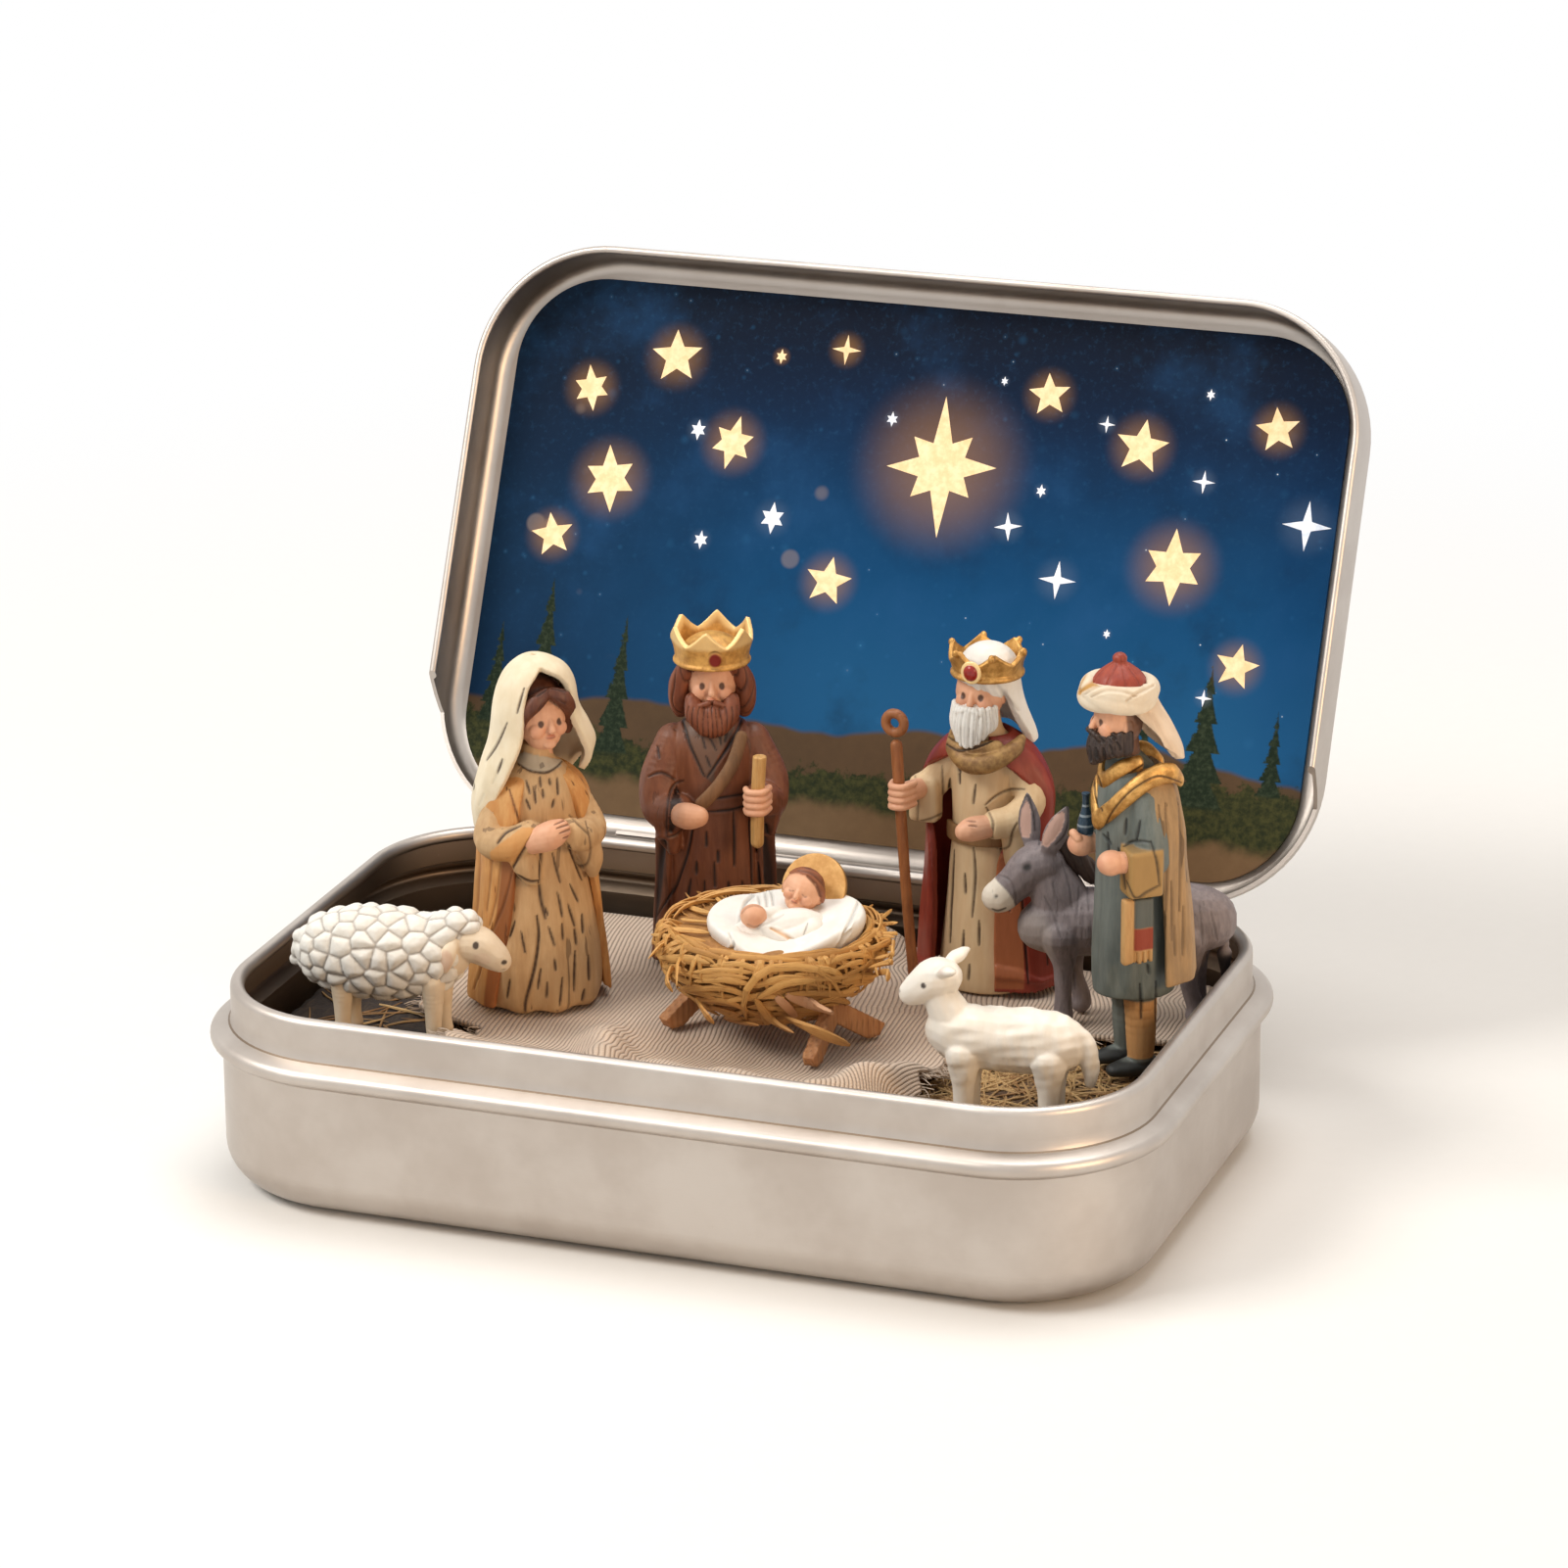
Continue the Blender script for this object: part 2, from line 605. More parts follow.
def woman():
    mm = WOMAN_HEIGHT / WOMAN_DRAWN
    h = WOMAN_HEIGHT
    neck = 1.35 * mm
    shoulder_z = 0.70 * h
    body = robe("woman_robe", 0.72 * h, WOMAN_HEM_WIDTH, WOMAN_HEM_DEPTH, 0.33 * WOMAN_HEM_WIDTH, neck, TAN)
    hand_z = 0.52 * h
    arms = [sleeve((side * 3.6 * mm, 0, shoulder_z - 3.6 * mm), (side * 5.0 * mm, -1.4 * mm, 0.49 * h),
                   (side * 1.5 * mm, -4.7 * mm, hand_z), 1.3 * mm, 1.6 * mm, 1.9 * mm, TAN) for side in (-1,
                                                            1)]
    head = ball("woman_head", (0, -0.5 * mm, 0.815 * h), (2.6 * mm, 2.7 * mm, 3.1 * mm), SKIN)
    clear(head, body)
    hands = ball("woman_hands", (0, -6.0 * mm, hand_z + 0.3 * mm), (1.5 * mm, 1.7 * mm, 1.5 * mm), SKIN)
    clear(hands, body, *arms)
    hair = ball("woman_hair", (0, 0.2 * mm, 0.83 * h), (3.2 * mm, 3.1 * mm, 3.5 * mm), HAIR)
    hair_form = ball("hair_form", (0, 0.2 * mm, 0.83 * h), (3.2 * mm, 3.1 * mm, 3.5 * mm), HAIR)
    face = tube("face", [(0, -6 * mm, 0.80 * h), (0, -0.6 * mm, 0.80 * h)], [2.5 * mm, 2.3 * mm], SKIN, 12,
                1.25)
    clear(hair, head, body)
    cut(hair, face)
    mantle = loft("woman_mantle", [
        oval(z * h, WOMAN_HEM_WIDTH / 2 * w + 1.0 * mm, WOMAN_HEM_DEPTH / 2 * w + 0.9 * mm, cy=0.5 * mm,
             sides=16)
        for z, w in ((0.004, 0.97), (0.20, 0.88), (0.45, 0.80), (0.60, 0.72), (0.665, 0.50))], AMBER)
    opening = [[Vector((x * mm, y * mm, z * mm)) for x, y in ((-2.6 + t, -20), (4.4 + t, -20), (3.4, 0.8),
                                                            (-2.4, 0.8))]
               for z, t in ((-2, -1.2), (40, 0.5))]
    cut(mantle, loft("opening", opening, AMBER))
    veil = loft("woman_veil", [
        oval(z * h, rx * mm, ry * mm, cy=cy * mm, sides=16) for z, rx, ry, cy in (
            (0.50, 5.6, 4.4, 2.2), (0.58, 6.2, 4.9, 1.5), (0.68, 5.4, 4.8, 0.9), (0.76, 4.5, 4.4, 0.6),
            (0.86, 4.1, 4.1, 0.3), (0.94, 3.3, 3.3, 0.2), (0.985, 1.9, 1.9, 0.1), (1.0, 0.5, 0.5, 0.0))],
                CREAM)
    front = [[Vector((x * mm, y * mm, z * h)) for x, y in ((-half, -20), (half, -20), (half, deep), (-half,
                                                            deep))]
             for z, half, deep in ((0.40, 8.0, 1.6), (0.62, 5.0, -0.4), (0.70, 2.7, -1.3), (0.90, 2.2, -1.3))]
    cut(veil, loft("front", front, CREAM))
    clear(veil, mantle, head, body, *arms, hair_form)
    clear(mantle, body, *arms)
    bpy.data.objects.remove(hair_form)
    fuse(body, *arms)
    place("woman", WOMAN_AT, WOMAN_HEADING, LINEN_TOP, (body, head, hands, hair, mantle, veil))


def pointed_crown(name, centre, radius, height, wall, mat, points=6):
    """A band whose upper edge rises in points."""
    sides = points * 4
    rings = []
    for out, level in ((1.0, 0), (1.12, 1), (1.12 - wall / radius, 1), (1.0 - wall / radius, 0)):
        ring = []
        for i in range(sides):
            angle = 2 * math.pi * i / sides
            peak = (0.55, 0.72, 1.0, 0.72)[i % 4] if level else 0.0
            ring.append(Vector((radius * out * math.cos(angle), radius * out * math.sin(angle),
                                height * peak))
                        + Vector(centre))
        rings.append(ring)
    bm = bmesh.new()
    skin(bm, rings, closed=True)
    return show(name, bm, mat)


def brown_king():
    mm = BROWN_HEIGHT / BROWN_DRAWN
    h = BROWN_HEIGHT
    neck = 1.5 * mm
    body = robe("brown_robe", 0.74 * h, BROWN_HEM_WIDTH, BROWN_HEM_DEPTH, 0.40 * BROWN_HEM_WIDTH, neck, BROWN)
    grips, arms = [], []
    for side, hand in ((-1, (-2.2 * mm, -5.6 * mm, 0.475 * h)), (1, (4.4 * mm, -5.3 * mm, 0.53 * h))):
        elbow = (side * 6.1 * mm, -1.0 * mm, 0.46 * h)
        arms.append(sleeve((side * 4.0 * mm, 0, 0.655 * h), elbow,
                           (hand[0], hand[1] + 1.3 * mm, hand[2] - 0.4 * mm),
                           1.6 * mm, 2.1 * mm, 2.3 * mm, BROWN))
        name = "brown_left_hand" if side > 0 else "brown_right_hand"
        grip = ball(name, (hand[0], hand[1] - 0.9 * mm, hand[2]), (1.25 * mm, 1.7 * mm, 1.35 * mm), SKIN)
        grips.append(clear(grip, body, arms[-1]))
    head = ball("brown_head", (0, -0.6 * mm, 0.825 * h), (2.6 * mm, 2.7 * mm, 3.2 * mm), SKIN)
    clear(head, body)
    hair = fuse(ball("brown_hair", (0, 0.5 * mm, 0.84 * h), (3.9 * mm, 3.3 * mm, 3.4 * mm), HAIR),
                ball("locks", (0, 0.9 * mm, 0.77 * h), (4.3 * mm, 2.9 * mm, 2.1 * mm), HAIR),
                ball("beard", (0, -2.1 * mm, 0.755 * h), (2.3 * mm, 2.0 * mm, 2.6 * mm), HAIR))
    window = tube("window", [(0, -8 * mm, 0.835 * h), (0, -0.6 * mm, 0.835 * h)], [2.1 * mm, 2.1 * mm],
                  SKIN, 12)
    cut(hair, window)
    clear(hair, head, body)
    crown = pointed_crown("brown_crown", (0, 0, 0.885 * h), 3.75 * mm, 0.115 * h, 0.7 * mm, GOLD)
    dome = ball("dome", (0, 0.1 * mm, 0.90 * h), (3.4 * mm, 3.4 * mm, 2.9 * mm), AMBER)
    cut(dome, box("below", (-9 * mm, -9 * mm, 0), (9 * mm, 9 * mm, 0.895 * h), AMBER))
    fuse(crown, dome)
    clear(crown, hair, head)
    sash = tube("brown_sash", [(-4.2 * mm, -3.2 * mm, 0.475 * h), (-0.6 * mm, -5.0 * mm, 0.56 * h),
                               (2.9 * mm, -4.0 * mm, 0.68 * h)], [0.9 * mm, 0.9 * mm, 0.8 * mm], HAIR, 8, 1.7)
    clear(sash, body, *arms, *grips)
    x, y, z = 4.4 * mm, -7.1 * mm, 0.53 * h
    stick = tube("brown_stick", [(x, y, z - 4.4 * mm), (x + 0.1 * mm, y, z), (x + 0.3 * mm, y, z + 4.8 * mm)],
                 [0.75 * mm] * 3, WOOD)
    clear(grips[1], stick)
    fuse(body, *arms)
    place("brown_king", BROWN_AT, BROWN_HEADING, LINEN_TOP, (body, *grips, head, hair, crown, sash, stick))


def bearded_king():
    mm = BEARDED_HEIGHT / BEARDED_DRAWN
    h = BEARDED_HEIGHT
    neck = 1.4 * mm
    body = robe("bearded_tunic", 0.74 * h, BEARDED_HEM_WIDTH, BEARDED_HEM_DEPTH, 0.42 * BEARDED_HEM_WIDTH,
                neck, CREAM)
    grips, arms = [], []
    half = BEARDED_HEM_WIDTH / 2
    deep = BEARDED_HEM_DEPTH / 2
    for side, hand in ((-1, (-half - 1.5 * mm, -3.2 * mm, 0.565 * h)), (1, (1.2 * mm, -5.8 * mm, 0.50 * h))):
        elbow = (side * (half + 0.5 * mm), -0.6 * mm, 0.47 * h)
        arms.append(sleeve((side * (half - 1.4 * mm), 0, 0.655 * h), elbow,
                           (hand[0], hand[1] + 1.3 * mm, hand[2] - 0.3 * mm),
                           1.5 * mm, 1.8 * mm, 1.9 * mm, CREAM))
        name = "bearded_left_hand" if side > 0 else "bearded_right_hand"
        grip = ball(name, (hand[0], hand[1] - 0.9 * mm, hand[2]), (1.2 * mm, 1.6 * mm, 1.3 * mm), SKIN)
        grips.append(clear(grip, body, arms[-1]))
    head = ball("bearded_head", (0, -0.5 * mm, 0.835 * h), (2.5 * mm, 2.6 * mm, 3.1 * mm), SKIN)
    clear(head, body)
    cloth = fuse(ball("bearded_headcloth", (0, 0.5 * mm, 0.87 * h), (3.2 * mm, 3.2 * mm, 4.1 * mm), WHITE),
                 loft("fall", [oval(z * h, rx * mm, ry * mm, cy=cy * mm, sides=12) for z, rx, ry, cy in (
                     (0.715, 4.4, 1.7, 2.3), (0.76, 4.3, 2.2, 1.9), (0.84, 3.2, 2.6, 0.9),
                         (0.90, 2.8, 2.6, 0.4))], WHITE))
    cut(cloth, tube("window", [(0, -8 * mm, 0.815 * h), (0, -0.7 * mm, 0.815 * h)], [2.3 * mm, 2.3 * mm],
                    SKIN, 12, 1.35))
    clear(cloth, head, body)
    beard = loft("bearded_beard", [oval(z * h, rx * mm, ry * mm, cy=cy * mm, sides=10) for z, rx, ry, cy in (
        (0.700, 0.8, 0.6, -3.3), (0.725, 1.7, 1.1, -3.0), (0.765, 2.3, 1.5, -2.6), (0.80, 2.4, 1.5, -2.2),
        (0.822, 2.0, 1.1, -2.1))], WHITE)
    clear(beard, head, body, cloth)
    crown = pointed_crown("bearded_crown", (0, 0, 0.868 * h), 3.75 * mm, 0.10 * h, 0.7 * mm, GOLD)
    clear(crown, cloth, head)
    gem = ball("bearded_gem", (0, -4.45 * mm, 0.905 * h), (0.85 * mm, 0.5 * mm, 0.95 * mm), GEM, 10, 6)
    clear(gem, crown)
    cloak = loft("bearded_cloak", [oval(z * h, half + out * mm, deep + back * mm, cy=cy * mm, sides=18)
                                   for z, out, back, cy in (
        (0.008, 2.7, 0.7, 0.6), (0.20, 2.1, 0.5, 0.6), (0.45, 1.5, 0.1, 0.5), (0.60, 0.7, -0.5, 0.4),
        (0.68, -0.9, -1.3, 0.3), (0.712, -2.5, -2.0, 0.1))], RED)
    gap = [[Vector((x, y * mm, z * h)) for x, y in (
        (-half - wide * mm, -20), (half + wide * mm, -20), (0.8 * (half + wide * mm), -0.6),
        (-0.8 * (half + wide * mm), -0.6))]
           for z, wide in ((-0.05, -0.3), (0.45, -0.7), (0.66, -2.3), (0.80, -2.9))]
    cut(cloak, loft("gap", gap, RED))
    belt = loft("bearded_belt", [oval(z * h, BEARDED_HEM_WIDTH * 0.405 + 0.75 * mm,
                                      BEARDED_HEM_DEPTH * 0.405 + 0.75 * mm,
                                      sides=16) for z in (0.425, 0.475)], OLIVE)
    cut(belt, box("back", (-9 * mm, -2.4 * mm, 0), (9 * mm, 9 * mm, h), OLIVE))
    clear(belt, body, *arms, *grips)
    collar = loft("bearded_collar", [oval(z * h, rx * mm, ry * mm, cy=-0.4 * mm, sides=14) for z, rx, ry in (
        (0.655, 3.6, 3.7), (0.70, 3.2, 3.3), (0.725, 2.5, 2.6))], GOLD)
    cut(collar, box("back", (-9 * mm, -0.4 * mm, 0), (9 * mm, 9 * mm, h), GOLD))
    clear(collar, body, *arms, head, beard, cloth)
    clear(cloak, body, *arms, head, cloth, beard, belt, collar, *grips)
    staff_x, staff_y = -6.7 * mm, -5.7 * mm
    staff = tube("bearded_staff", [(staff_x + 1.4 * mm, staff_y, 0), (staff_x, staff_y, 0.50 * h),
                                   (staff_x - 0.7 * mm, staff_y, 0.745 * h)],
                                       [0.5 * mm, 0.55 * mm, 0.6 * mm], WOOD)
    bm = bmesh.new()
    ring = []
    for i in range(12):
        turn = 2 * math.pi * i / 12
        centre = Vector((staff_x - 0.75 * mm, staff_y, 0.745 * h + 1.2 * mm))
        out = Vector((math.cos(turn), 0, math.sin(turn)))
        ring.append([centre + out * (1.05 * mm + 0.5 * mm * math.cos(a)) + Vector((0,
                                                            0.5 * mm * math.sin(a), 0))
                     for a in (math.pi * (k + 0.5) / 3 for k in range(6))])
    skin(bm, ring, closed=True)
    fuse(staff, show("eye", bm, WOOD))
    clear(grips[0], staff)
    clear(cloak, staff)
    fuse(body, *arms)
    place("bearded_king", BEARDED_AT, BEARDED_HEADING, LINEN_TOP,
          (body, *grips, head, cloth, beard, crown, gem, cloak, staff, belt, collar))


def turbaned_man():
    mm = TURBAN_HEIGHT / TURBAN_DRAWN
    h = TURBAN_HEIGHT
    neck = 1.3 * mm
    rings = [oval(z * h, TURBAN_HEM_WIDTH / 2 * w, TURBAN_HEM_DEPTH / 2 * d, cy=cy * mm) for z, w, d, cy in (
        (0.15, 1.0, 1.0, 0.0), (0.30, 1.02, 1.0, 0.0), (0.48, 0.98, 0.96, 0.0), (0.60, 1.05, 0.95, -0.2),
        (0.665, 0.95, 0.8, -0.5), (0.69, 0.5, 0.5, -0.9), (0.72, 0.34, 0.34, -1.1))]
    body = loft("turban_tunic", rings, SLATE)
    for side in (-1, 1):
        foot = tube("leg", [(side * 1.7 * mm, 0, 0.6 * mm), (side * 1.7 * mm, 0, 0.10 * h),
                            (side * 1.5 * mm, 0, 0.17 * h)],
                    [1.2 * mm, 1.5 * mm, 1.6 * mm], OLIVE)
        shoe = loft("shoe", [oval(z * mm, w * mm, d * mm, cx=side * 1.75 * mm, cy=-0.8 * mm,
                                  sides=10) for z, w, d in (
            (0, 1.45, 2.6), (0.8, 1.5, 2.6), (1.5, 1.1, 1.7))], DARK)
        fuse(body, fuse(foot, shoe))
    grips, arms = [], []
    far = (-3.2 * mm, -3.6 * mm, 0.53 * h)
    near = (4.2 * mm, -3.4 * mm, 0.545 * h)
    for side, hand, wide in ((-1, far, 1.6 * mm), (1, near, 2.2 * mm)):
        arms.append(tube("sleeve", [(side * 3.9 * mm, 1.0 * mm, hand[2] - 0.01 * h),
                                    (hand[0], hand[1] + 1.2 * mm, hand[2])], [0.8 * wide, wide], SLATE))
        name = "turban_left_hand" if side > 0 else "turban_right_hand"
        grip = ball(name, (hand[0], hand[1] - 0.8 * mm, hand[2]), (1.2 * mm, 1.5 * mm, 1.2 * mm), SKIN)
        grips.append(clear(grip, body, arms[-1]))
    head = ball("turban_head", (0, -1.6 * mm, 0.785 * h), (2.5 * mm, 2.6 * mm, 3.1 * mm), SKIN)
    clear(head, body)
    beard = loft("turban_beard", [oval(z * h, rx * mm, ry * mm, cy=cy * mm, sides=12) for z, rx, ry, cy in (
        (0.685, 0.9, 0.7, -4.0), (0.705, 1.9, 1.3, -3.6), (0.745, 2.7, 2.2, -2.6), (0.775, 2.7, 2.1, -2.3),
        (0.79, 2.2, 1.6, -2.1))], DARK)
    cut(beard, box("mouth", (-1.6 * mm, -9 * mm, 0.762 * h), (1.6 * mm, -2.6 * mm, 0.9 * h), DARK))
    clear(beard, head, body)
    fall = loft("turban_headcloth", [oval(z * h, rx * mm, ry * mm, cy=cy * mm, sides=12) for z, rx, ry,
                                     cy in (
        (0.655, 3.9, 1.5, 2.6), (0.70, 3.9, 1.9, 2.0), (0.77, 3.3, 2.4, 0.6), (0.83, 3.0, 2.8, -0.8),
        (0.87, 2.6, 2.5, -1.2))], CREAM)
    clear(fall, head, body, beard)
    roll = bmesh.new()
    rings = []
    for i in range(16):
        turn = 2 * math.pi * i / 16
        centre = Vector((3.0 * mm * math.cos(turn), -1.4 * mm + 3.0 * mm * math.sin(turn), 0.872 * h))
        out = Vector((math.cos(turn), math.sin(turn), 0))
        rings.append([centre + out * (1.35 * mm * math.cos(a)) + Vector((0, 0, 1.5 * mm * math.sin(a)))
                      for a in (math.pi * (k + 0.5) / 4 for k in range(8))])
    skin(roll, rings, closed=True)
    turban = show("turban_roll", roll, CREAM)
    clear(turban, head, fall)
    cap = loft("turban_cap", [oval(z * h, r * mm, r * mm, cy=-1.3 * mm, sides=12) for z, r in (
        (0.868, 2.6), (0.90, 2.9), (0.93, 2.5), (0.955, 1.5), (0.975, 0.8), (0.99, 0.9), (1.0, 0.4))], RED)
    clear(cap, turban, head, fall)
    cloak = loft("turban_cloak", [oval(z * h, rx * mm, ry * mm, cy=cy * mm, sides=16) for z, rx, ry, cy in (
        (0.18, 5.2, 4.4, 1.6), (0.35, 5.0, 4.2, 1.4), (0.52, 4.7, 3.9, 1.0), (0.62, 4.3, 3.4, 0.5),
        (0.67, 2.8, 2.4, 0.2))], OLIVE)
    front = [[Vector((x * mm, y * mm, z * h)) for x, y in ((-9, -20), (9, -20), (9, 0.2), (-9,
                                                            0.2))] for z in (0.1, 0.72)]
    cut(cloak, loft("front", front, OLIVE))
    clear(cloak, body, *arms, head, fall, beard)
    collar = loft("turban_collar", [oval(z * h, rx * mm, ry * mm, cy=-0.6 * mm, sides=14) for z, rx, ry in (
        (0.60, 3.9, 4.4), (0.655, 4.1, 4.1), (0.70, 2.4, 2.6))], GOLD)
    cut(collar, box("back", (-9 * mm, -0.5 * mm, 0), (9 * mm, 9 * mm, h), GOLD))
    clear(collar, body, *arms, head, beard, cloak, fall)
    flask = loft("turban_flask", [oval(z * mm + grips_top(far[2], mm), r * mm, r * mm, cx=far[0],
                                       cy=far[1] - 0.8 * mm, sides=10)
                                  for z, r in ((0, 0.9), (0.8, 1.25), (1.6, 1.1), (2.6, 0.55), (3.4, 0.45),
                                               (3.9, 0.6))], SLATE)
    clear(flask, body, *arms, collar)
    panel = box("turban_panel", (4.1 * mm, -2.9 * mm, 0.295 * h), (5.1 * mm, 0.0, 0.44 * h), AMBER)
    clear(panel, body, *arms, *grips, cloak)
    fuse(body, *arms)
    place("turbaned_man", TURBAN_AT, TURBAN_HEADING, MAT_TOP,
          (body, *grips, head, beard, fall, turban, cap, cloak, collar, flask, panel))


def grips_top(hand_height, mm):
    """Underside of what stands on a closed hand."""
    return hand_height + 1.2 * mm + SEAT


def donkey():
    """Faces -X. The trunk runs along X and the legs, neck, head and ears are fused to it."""
    mm = DONKEY_BACK / DONKEY_DRAWN
    n = DONKEY_LENGTH
    back = DONKEY_BACK
    trunk = tube("donkey", [(x * n, 0, z * back) for x, z in (
        (-0.28, 0.72), (-0.20, 0.70), (0.0, 0.68), (0.22, 0.70), (0.36, 0.72), (0.41, 0.70))],
        [1.9 * mm, 3.6 * mm, 3.7 * mm, 3.9 * mm, 3.2 * mm, 1.2 * mm], GREY, 12)
    for x, y, lean in ((-0.19, -1.7, 0.0), (-0.15, 1.7, 0.03), (0.29, -1.7, 0.03), (0.33, 1.7, 0.0)):
        leg = tube("leg", [((x + lean) * n, y * mm, 0), (x * n, y * mm, 1.2 * mm), (x * n, y * mm, 3.6 * mm),
                           (x * n, y * mm, 0.62 * back)], [1.25 * mm, 1.0 * mm, 1.0 * mm, 1.7 * mm], GREY)
        fuse(trunk, leg)
    neck = tube("neck", [(-0.18 * n, 0, 0.68 * back), (-0.26 * n, 0, 0.90 * back),
                         (-0.32 * n, 0, 1.14 * back)],
                [3.1 * mm, 2.6 * mm, 2.0 * mm], GREY, 10, 0.8)
    skull = tube("skull", [(-0.27 * n, 0, 1.20 * back), (-0.35 * n, 0, 1.12 * back),
                           (-0.46 * n, 0, 0.96 * back),
                           (-0.54 * n, 0, 0.85 * back)], [1.6 * mm, 2.2 * mm, 1.7 * mm, 1.4 * mm], GREY, 10)
    fuse(trunk, neck, skull)
    for side, root, middle, tip in ((-1, -0.28, -0.235, -0.195), (1, -0.33, -0.335, -0.34)):
        ear = tube("ear", [(root * n, side * 1.1 * mm, 1.22 * back),
                           (middle * n, side * 1.6 * mm, 1.45 * back),
                           (tip * n, side * 1.9 * mm, 1.64 * back)], [0.8 * mm, 1.15 * mm, 0.35 * mm],
                               GREY, 8, 0.6)
        fuse(trunk, ear)
    tail = tube("tail", [(0.37 * n, 0, 0.86 * back), (0.42 * n, 0, 0.62 * back), (0.43 * n, 0, 0.35 * back)],
                [0.7 * mm, 0.6 * mm, 0.9 * mm], GREY, 6)
    fuse(trunk, tail)
    cut(trunk, box("floor", (-n, -n, -n), (n, n, 0), GREY))
    mane = tube("donkey_mane", [(-0.25 * n, 0, 1.36 * back), (-0.16 * n, 0, 1.17 * back),
                                (-0.08 * n, 0, 1.00 * back)],
                [0.8 * mm, 1.3 * mm, 0.8 * mm], DARK, 8, 0.7)
    clear(mane, trunk)
    place("donkey_stand", DONKEY_AT, DONKEY_HEADING, LINEN_TOP, (trunk, mane))


def trestle(name, side):
    """Two crossed bars, the manger's legs at one end."""
    mm = NEST_RIM_HEIGHT / NEST_DRAWN
    foot = side * TRESTLE_SPACING / 2
    spread = TRESTLE_SPREAD / 2
    top = NEST_RIM_HEIGHT - NEST_HEIGHT + 0.43 * NEST_HEIGHT
    bars = []
    for way in (-1, 1):
        bars.append(tube(name, [(foot, way * spread, 0.35 * mm), (0.73 * foot, -0.66 * way * spread, top)],
                         [1.15 * mm, 1.15 * mm], WOOD, 6))
    made = fuse(*bars)
    cut(made, box("floor", (-0.05, -0.05, -0.01), (0.05, 0.05, 0), WOOD))
    turn = Matrix.Rotation(math.radians(TRESTLE_TURN), 4, "Z")
    made.data.transform(turn)
    return made


def leaning(rings):
    """The rings of the nest and its bedding, lower at the front than at the back."""
    return [[p + Vector((0, 0, NEST_LEAN * p.y)) for p in ring] for ring in rings]


def manger():
    """Crossed trestles, a straw nest with loose ends, bedding, and the child laid in it."""
    mm = CHILD_LENGTH / CHILD_DRAWN
    rim = NEST_RIM_HEIGHT
    low = rim - NEST_HEIGHT
    half_x, half_y = NEST_WIDTH / 2, NEST_DEPTH / 2
    rings = [oval(low + t * NEST_HEIGHT, half_x * w, half_y * w, sides=28) for t, w in (
        (0.0, 0.52), (0.22, 0.74), (0.50, 0.90), (0.80, 0.97), (1.0, 0.90))]
    rings += [oval(low + t * NEST_HEIGHT, half_x * w, half_y * w, sides=28) for t, w in (
        (0.96, 0.74), (0.70, 0.64), (0.45, 0.50), (0.34, 0.30))]
    bm = bmesh.new()
    skin(bm, leaning(rings))
    bm.normal_update()
    walls = [f for f in bm.faces if len(f.verts) == 4 and f.calc_center_median().xy.length > 0.36 * NEST_WIDTH
             and f.index % 3 == 0]
    bm.faces.ensure_lookup_table()
    middle = Vector((0, 0, low + 0.35 * NEST_HEIGHT))
    for face in walls:
        centre = face.calc_center_median()
        out = (centre - middle).normalized()
        ends = bmesh.ops.extrude_discrete_faces(bm, faces=[face])["faces"]
        verts = [v for f in ends for v in f.verts]
        bmesh.ops.translate(bm, verts=verts, vec=out * STRAW_LENGTH)
        bmesh.ops.scale(bm, verts=verts, vec=(0.35, 0.35, 0.35),
                        space=Matrix.Translation(-(centre + out * STRAW_LENGTH)))
    nest = show("straw_nest", bm, STRAW)
    front = clear(trestle("trestle_front", 1), nest)
    rear = clear(trestle("trestle_back", -1), nest)
    shape = ((0.44, 0.28), (0.56, 0.46), (0.82, 0.60), (1.10, 0.67), (1.19, 0.61), (1.10, 0.53), (0.80, 0.43),
             (0.62, 0.34), (0.57, 0.20))
    rings = [oval(low + t * NEST_HEIGHT, half_x * w, half_y * w, cx=0.13 * half_x, sides=20) for t, w in shape]
    bedding = loft("manger_bedding", leaning(rings), WHITE)
    clear(bedding, nest)
    place("manger", MANGER_AT, MANGER_HEADING, LINEN_TOP, (nest, front, rear, bedding))
    length = CHILD_LENGTH
    level = low + 0.86 * NEST_HEIGHT
    body = tube("child_body", [(-0.42 * length, -1.2 * mm, level),
                               (-0.24 * length, -1.0 * mm, level + 0.3 * mm),
                               (0.04 * length, -0.8 * mm, level + 0.8 * mm),
                               (0.25 * length, -0.3 * mm, level + 1.3 * mm),
                               (0.40 * length, 0.1 * mm, level + 1.7 * mm)],
                [1.0 * mm, 1.8 * mm, 2.2 * mm, 2.2 * mm, 1.2 * mm], CREAM, 10, 0.9)
    clear(body, bedding)
    head = ball("child_head", (0.27 * length, 2.0 * mm, level + 4.2 * mm), (2.25 * mm, 2.1 * mm, 2.3 * mm),
                SKIN)
    clear(head, body, bedding)
    halo = tube("child_halo", [(0.345 * length, 4.2 * mm, level + 3.85 * mm),
                               (0.365 * length, 4.9 * mm, level + 3.5 * mm)], [3.4 * mm, 3.4 * mm], GOLD, 20)
    clear(halo, head, body, bedding)
    hand = ball("child_hand", (-0.14 * length, -1.7 * mm, level + 2.9 * mm), (1.45 * mm, 1.2 * mm, 1.3 * mm),
                SKIN, 10, 6)
    clear(hand, body)
    place("child", MANGER_AT, MANGER_HEADING, LINEN_TOP, (body, head, halo, hand))


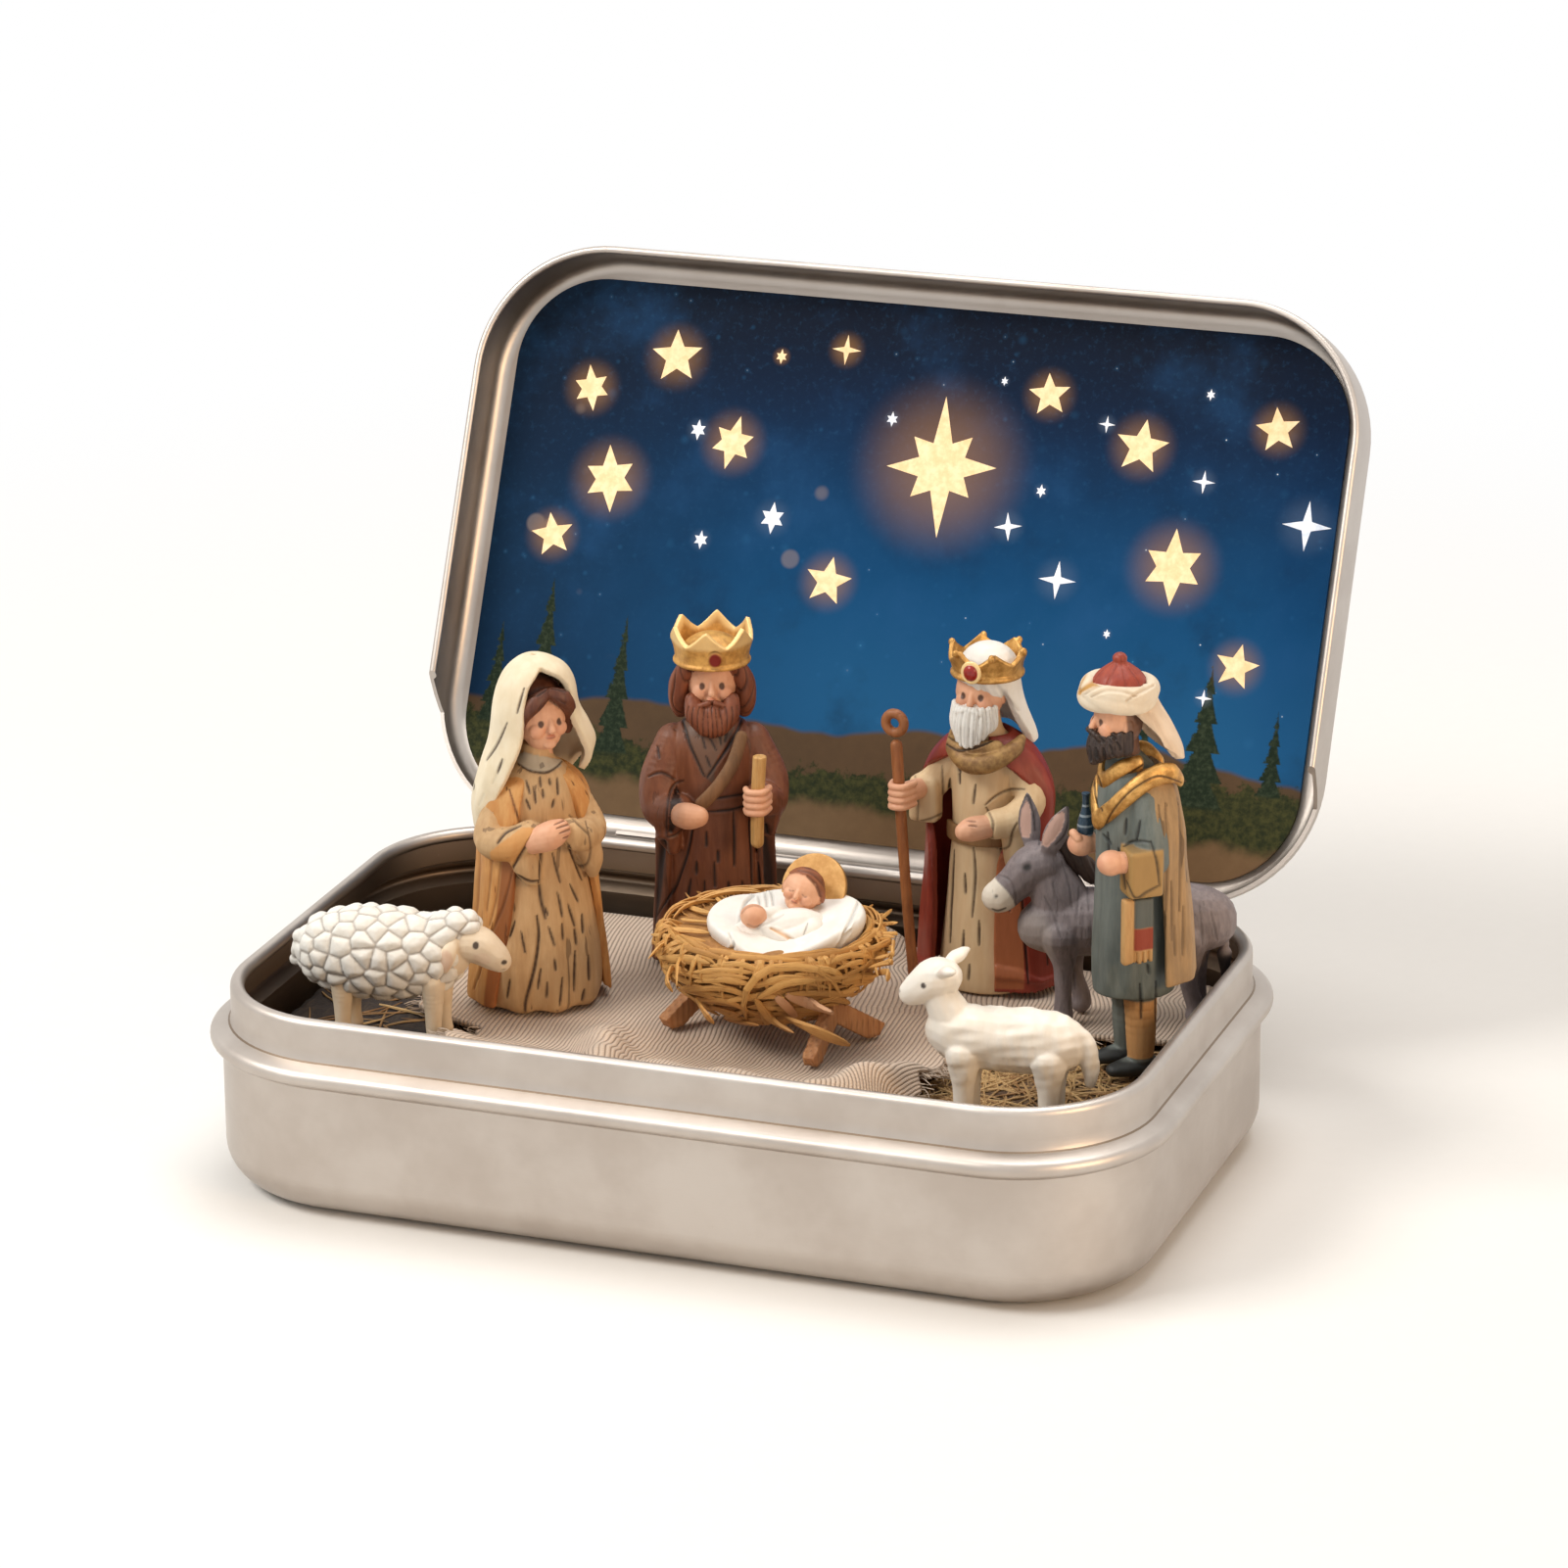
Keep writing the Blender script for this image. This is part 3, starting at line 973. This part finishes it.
def sheep():
    """Faces +X. A core with head and legs, and a fleece of pressed curls round it."""
    mm = SHEEP_HEIGHT / SHEEP_DRAWN
    n = SHEEP_LENGTH
    h = SHEEP_HEIGHT
    core = tube("sheep_core", [(-0.42 * n, 0, 0.60 * h), (-0.30 * n, 0, 0.60 * h), (0.25 * n, 0, 0.62 * h),
                               (0.36 * n, 0, 0.70 * h)], [1.4 * mm, 2.6 * mm, 2.6 * mm, 2.0 * mm], CREAM, 10)
    parts = [tube("leg", [(x * n, y * mm, 0), (x * n, y * mm, 0.55 * h)], [0.9 * mm, 1.1 * mm], CREAM)
             for x in (-0.28, 0.26) for y in (-1.9, 1.9)]
    face = tube("face", [(0.38 * n, 0, 0.74 * h), (0.50 * n, 0, 0.74 * h), (0.60 * n, 0, 0.66 * h),
                         (0.67 * n, 0, 0.60 * h)],
                [2.0 * mm, 2.1 * mm, 1.6 * mm, 1.0 * mm], CREAM, 10)
    parts.append(face)
    rings = 9
    wool = []
    for i in range(rings + 1):
        t = i / rings
        radius = math.sin(math.pi * (0.06 + 0.88 * t)) ** 0.5
        ripple = 1.0 + 0.035 * (1 if i % 2 else -1)
        size = mm * radius * ripple
        wool.append([Vector((-0.55 * n + 0.93 * n * t,
                             4.5 * size * math.cos(a) * (1 + 0.04 * math.cos(7 * a + i * math.pi)),
                             0.64 * h + 5.0 * size * math.sin(a)))
                     for a in (2 * math.pi * k / 14 for k in range(14))])
    fleece = loft("sheep_fleece", wool, WHITE)
    fuse(fleece, ball("poll", (0.42 * n, 0, 0.88 * h), (2.6 * mm, 2.3 * mm, 2.0 * mm), WHITE),
         ball("tail", (-0.56 * n, 0, 0.62 * h), (1.2 * mm, 1.2 * mm, 1.9 * mm), WHITE, 8, 6))
    clear(fleece, core, *parts)
    fuse(core, *parts)
    place("sheep", SHEEP_AT, SHEEP_HEADING, MAT_TOP, (core, fleece))


def lamb():
    """Faces -X, one smooth piece."""
    mm = LAMB_HEIGHT / LAMB_DRAWN
    n = LAMB_LENGTH
    h = LAMB_HEIGHT
    body = tube("lamb_body", [(x * n, 0, z * h) for x, z in (
        (-0.38, 0.74), (-0.28, 0.72), (0.0, 0.70), (0.26, 0.72), (0.40, 0.70))],
        [1.8 * mm, 3.1 * mm, 3.2 * mm, 3.3 * mm, 1.6 * mm], CREAM, 12)
    for x in (-0.22, 0.28):
        for y in (-1.6, 1.6):
            fuse(body, tube("leg", [(x * n, y * mm, 0), (x * n, y * mm, 0.62 * h)], [1.0 * mm, 1.35 * mm],
                            CREAM))
    fuse(body, tube("neck", [(-0.28 * n, 0, 0.74 * h), (-0.40 * n, 0, 1.08 * h)], [2.3 * mm, 1.7 * mm],
                    CREAM),
         tube("head", [(-0.28 * n, 0, 1.17 * h), (-0.38 * n, 0, 1.18 * h), (-0.48 * n, 0, 1.08 * h),
                       (-0.58 * n, 0, 0.99 * h)],
              [1.2 * mm, 2.0 * mm, 1.8 * mm, 1.2 * mm], CREAM, 10))
    for side in (-1, 1):
        fuse(body, tube("ear", [(-0.34 * n, side * 1.2 * mm, 1.22 * h), (-0.30 * n, side * 2.4 * mm,
                                                            1.30 * h),
                                (-0.26 * n, side * 3.2 * mm, 1.33 * h)], [0.6 * mm, 0.85 * mm, 0.3 * mm],
                                    CREAM, 6, 0.6))
    fuse(body, tube("tail", [(0.36 * n, 0, 0.86 * h), (0.50 * n, 0, 0.66 * h), (0.51 * n, 0, 0.36 * h)],
                    [0.9 * mm, 1.0 * mm, 0.6 * mm], CREAM, 6))
    place("lamb", LAMB_AT, LAMB_HEADING, MAT_TOP, (body,))


tin_base()
sky_card(tin_lid())
level_fill("bed_block", SHEET + SEAT, BED_HEIGHT, BED_CLEARANCE, FILLER)
level_fill("raffia_mat", MAT_Z, MAT_TOP, BED_CLEARANCE * 0.6, RAFFIA)
linen_cloth()
woman()
brown_king()
bearded_king()
turbaned_man()
donkey()
manger()
sheep()
lamb()
